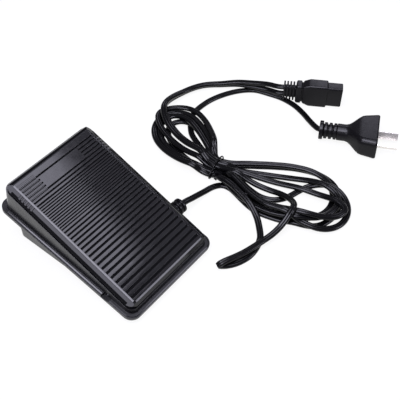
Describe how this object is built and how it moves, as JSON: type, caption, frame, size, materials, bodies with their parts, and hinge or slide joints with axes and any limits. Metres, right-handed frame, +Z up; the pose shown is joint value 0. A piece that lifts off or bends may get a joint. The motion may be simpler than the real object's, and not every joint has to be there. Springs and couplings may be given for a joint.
{
  "type": "sewing machine foot pedal",
  "caption": "Hinged ribbed treadle over a tray with a sliding speed control; its flat lead is tied in a hank and ends in a machine connector and a mains plug.",
  "frame": {"origin": "middle of the pedal on the floor, midway along the cover and across it", "axes": "+Z up, +Y from the low heel end to the high toe end, +X to the side where the lead leaves"},
  "size_m": [0.2914, 0.1991, 0.0591],
  "materials": {
    "black_abs": "semi-gloss moulded black ABS",
    "black_rubber": "matt black rubber",
    "lead_pvc": "satin black flexible PVC",
    "plug_pvc": "satin moulded black PVC",
    "pin_steel": "ground steel",
    "spring_steel": "drawn spring wire",
    "zinc_screw": "zinc plated",
    "black_pom": "matt black acetal",
    "phenolic_board": "brown paper laminate",
    "pressed_steel": "pressed tinned steel",
    "white_pom": "natural acetal",
    "black_epoxy": "moulded epoxy",
    "sink_aluminium": "extruded aluminium",
    "ferrite": "sintered ferrite",
    "enamelled_copper": "enamelled copper wire",
    "yellow_film": "moulded yellow case",
    "resistor_lacquer": "beige lacquer",
    "green_nylon": "moulded nylon",
    "core_insulation": "extruded PVC",
    "contact_brass": "stamped brass",
    "nickel_blade": "bright nickel plate"
  },
  "bodies": {
    "base": {"base_housing": "black_abs", "rubber_feet": "black_rubber", "hinge_pin": "pin_steel", "return_springs": "spring_steel", "circuit_board": "phenolic_board", "board_screws": "zinc_screw", "slide_potentiometer": "pressed_steel", "triac": "black_epoxy", "heat_sink": "sink_aluminium", "triac_screw": "zinc_screw", "choke_core": "ferrite", "choke_winding": "enamelled_copper", "suppression_capacitor": "yellow_film", "resistors": "resistor_lacquer", "terminal_block": "green_nylon", "terminal_screws": "zinc_screw", "lead_tail": "lead_pvc", "lead_wires": "core_insulation", "cord_clamp": "black_pom", "clamp_screws": "zinc_screw", "strain_relief": "black_rubber", "pedal_lead": "lead_pvc", "cord_hank": "lead_pvc", "hank_tie": "black_rubber", "loose_loop": "lead_pvc", "connector_lead_a": "lead_pvc", "connector_lead_b": "lead_pvc", "connector_body": "plug_pvc", "connector_contacts": "contact_brass", "plug_lead": "lead_pvc", "plug_body": "plug_pvc", "plug_blades": "nickel_blade"},
    "treadle": {"treadle_cover": "black_abs", "cam_arm": "black_pom", "arm_screws": "zinc_screw"},
    "slider": {"pot_slider": "white_pom"}
  },
  "joints": [
    {"name": "treadle_press", "type": "hinge", "parent": "base", "child": "treadle", "pos_m": [0, -0.04, 0.014], "axis": [-1, 0, 0], "range_deg": [0, 7], "stiffness_Nm_per_rad": 10, "springref_deg": -5.73, "deforming": ["return_springs"]},
    {"name": "slider_slide", "type": "slide", "parent": "base", "child": "slider", "axis": [0, 1, 0], "range_m": [0, 0.0101]}
  ],
  "couplings": [
    {"joint": "slider_slide", "follows": "treadle_press", "m_per_rad": 0.08185}
  ]
}
